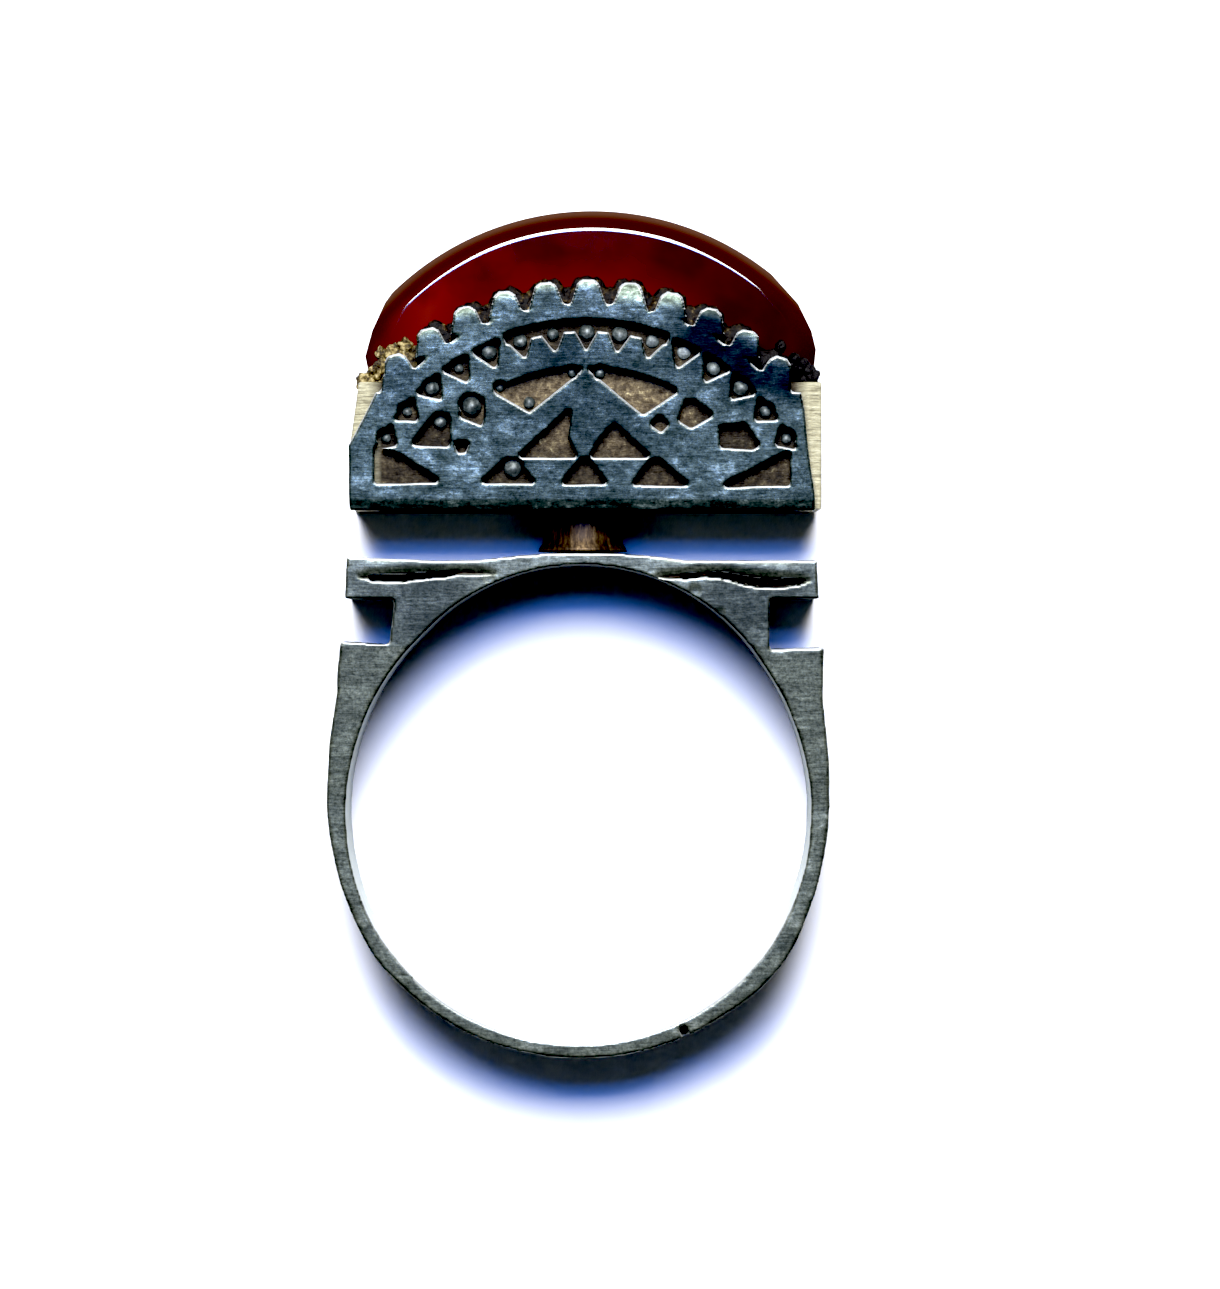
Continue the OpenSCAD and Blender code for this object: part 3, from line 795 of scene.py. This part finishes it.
# Pitch with brick dust. Dull brown with gold and black crumbs about a quarter of a millimetre across.
def setting_pitch():
    material, tree, shader, in_mm = start_material("crumbled_setting_pitch")
    crumbs = add(tree, "TexNoise", in_mm, 1 / PITCH_CRUMB, 4, 0.7)
    brown = add(tree, "ValToRGB", crumbs, stops=[
        (0.40, "040302"), (0.50, "0c0805"), (0.58, "1e160b"), (0.66, "43371f"), (0.74, "8a7d58"),
    ])
    gold = add(tree, "ValToRGB", crumbs, stops=[
        (0.4, "15100a"), (0.5, "4a3f24"), (0.6, "8a7c52"), (0.72, "c8bc94"),
    ])
    flat = add(tree, "VectorMath", in_mm, (1, 1, 0), operation="MULTIPLY")
    reach = add(tree, "VectorMath", flat, (ARC_X, ARC_Y, 0), operation="DISTANCE")
    across = add(tree, "SeparateXYZ", in_mm, output="X")
    darker = add(tree, "MapRange", across, *DARKENING, 0, 0.9)
    film = add(tree, "MapRange", reach, *THIN_FILM, 0, 0.8)
    left_end = add(tree, "MapRange", across, *GOLD_END)
    # The black at the right is partly painted shade in the corner by the case wall
    right_end = add(tree, "MapRange", across, *BLACK_END)
    colour = brown
    for share, other in (
        (darker, linear("080504")),
        (film, linear("3c1808")),
        (left_end, gold),
        (right_end, linear("0a0706")),
    ):
        colour = add(tree, "Mix", share, colour, other, data_type="RGBA")
    tree.links.new(colour, shader.inputs["Base Color"])
    shader.inputs["Roughness"].default_value = 0.6
    shader.inputs["Specular IOR Level"].default_value = 0.2
    tree.links.new(add(tree, "Bump", 1, 0.08 * MM, None, crumbs), shader.inputs["Normal"])
    return material


pitch_brown = setting_pitch()
shape = merged_copy("pitch")
bmesh.ops.subdivide_edges(shape, edges=shape.edges, cuts=8, use_grid_fill=True)
bed = new_piece(shape, "pitch_bed", pitch_brown)
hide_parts("pitch")

shape = bmesh.new()
bmesh.ops.create_grid(shape, x_segments=SQUEEZE_STEPS[0], y_segments=SQUEEZE_STEPS[1], size=0.5)
for vertex in shape.verts:
    turn = vertex.co.x * 2 * SQUEEZE_TURN
    share = vertex.co.y + 0.5
    nearest = min(TEETH_EACH_SIDE, max(-TEETH_EACH_SIDE, round((turn - MIDDLE_TOOTH) / TOOTH_PITCH)))
    off_tooth = abs(turn - MIDDLE_TOOTH - nearest * TOOTH_PITCH)
    halo = HALO * max(0, 1 - (off_tooth / HALO_HALF) ** 4)
    rough = noise.noise(Vector((turn * EDGE_CRUMBS, share * 2, 3.3)))
    out = SQUEEZE_OUT + halo + RAGGED * rough
    reach = SQUEEZE_IN + share * (out - SQUEEZE_IN)
    crumb = noise.noise(Vector((turn * CRUMBS_ROUND, reach * CRUMBS_OUT, 0)))
    # The surface falls to the stone at the outer edge, and the last row ends below its face
    rise = SQUEEZE_RISE * (1 - share ** 3) + CRUMB_RISE * crumb * (1 - share) - LAST_ROW * (share > 0.97)
    vertex.co = Vector((
        (ARC_X + reach * math.sin(turn)) * MM,
        (ARC_Y + reach * math.cos(turn)) * MM,
        STONE_HIGH + rise * MM,
    ))
grown = bmesh.ops.extrude_face_region(shape, geom=shape.faces[:])
low_side = [v for v in grown["geom"] if isinstance(v, bmesh.types.BMVert)]
for vertex in low_side:
    vertex.co.z = STONE_HIGH - SQUEEZE_DEPTH * MM
for x, y, above, radius in LUMPS:
    made = bmesh.ops.create_icosphere(shape, subdivisions=4, radius=radius * MM)
    for vertex in made["verts"]:
        vertex.co *= 1 + JAGGED * noise.noise(vertex.co / (JAG_WIDE * MM) + Vector((x, y, 0)))
    bmesh.ops.scale(shape, verts=made["verts"], vec=(1, 1, LUMP_FLAT))
    bmesh.ops.translate(shape, verts=made["verts"], vec=(x * MM, y * MM, STONE_HIGH + above * MM))
bmesh.ops.recalc_face_normals(shape, faces=shape.faces)
squeeze = new_piece(shape, "pitch_crumbs", pitch_brown)

# Paper, light and camera
# The ring lies on pale paper below a broad white lamp and a narrow blue one. The camera looks straight
# down on it, and its picture has this height in pixels and this many of them to the millimetre.
PHOTO_HEIGHT = 1289
PX_PER_MM = 23.62
# The middle of the picture, the camera's height above the top face in metres, and its sensor in mm
LOOK_X, LOOK_Y = 1.376 * MM, 6.859 * MM
CAMERA_ABOVE = 0.35
SENSOR = 36
# The lamps are aimed at the head from this far
HEAD_Y = 15 * MM
LAMP_AWAY = 0.45

shape = bmesh.new()
bmesh.ops.create_grid(shape, x_segments=1, y_segments=1, size=2.0)
mesh = bpy.data.meshes.new("paper")
shape.to_mesh(mesh)
shape.free()
paper = bpy.data.objects.new("paper", mesh)
bpy.context.scene.collection.objects.link(paper)
plain_paper = bpy.data.materials.new("plain_paper")
plain_paper.use_nodes = True
paper_shader = plain_paper.node_tree.nodes["Principled BSDF"]
paper_shader.inputs["Base Color"].default_value = linear("f2f2f4")
paper_shader.inputs["Roughness"].default_value = 0.9
mesh.materials.append(plain_paper)

camera = bpy.data.objects.new("camera", bpy.data.cameras.new("camera"))
camera.location = (LOOK_X, LOOK_Y, TOP_FACE + CAMERA_ABOVE)
camera.data.sensor_width = SENSOR
camera.data.lens = CAMERA_ABOVE * SENSOR / (PHOTO_HEIGHT / PX_PER_MM * MM)
camera.data.clip_start = 0.01
bpy.context.scene.collection.objects.link(camera)
bpy.context.scene.camera = camera


def soft_lamp(name, tilt, turn, size, power, colour):
    """An area lamp aimed at the head. tilt is from straight up and turn from +Y towards +X, in degrees."""
    data = bpy.data.lights.new(name, "AREA")
    data.shape = "RECTANGLE"
    data.size, data.size_y = size
    data.energy = power
    data.color = linear(colour)[:3]
    lamp = bpy.data.objects.new(name, data)
    out = Vector((
        math.sin(math.radians(tilt)) * math.sin(math.radians(turn)),
        math.sin(math.radians(tilt)) * math.cos(math.radians(turn)),
        math.cos(math.radians(tilt)),
    ))
    lamp.location = Vector((LOOK_X, HEAD_Y, 0)) + out * LAMP_AWAY
    lamp.rotation_mode = "QUATERNION"
    lamp.rotation_quaternion = out.to_track_quat("Z", "Y")
    bpy.context.scene.collection.objects.link(lamp)


# The blue lamp stands nearer to straight up. So level metal mirrors more of it and looks cool, and the
# shadows have blue edges.
soft_lamp("white_lamp", tilt=22, turn=-3, size=(0.17, 0.175), power=6.2, colour="fffdf8")
soft_lamp("blue_lamp", tilt=9.5, turn=-6, size=(0.1, 0.04), power=1.05, colour="4689ff")

world = bpy.data.worlds.new("studio")
bpy.context.scene.world = world
world.use_nodes = True
sky = world.node_tree.nodes["Background"]
sky.inputs["Color"].default_value = linear("c8d4e4")
sky.inputs["Strength"].default_value = 0.04
view = bpy.context.scene.view_settings
view.view_transform = "Standard"
# The deepest shade prints as black
view.use_curve_mapping = True
view.curve_mapping.black_level = (0.034, 0.034, 0.034)
view.curve_mapping.update()
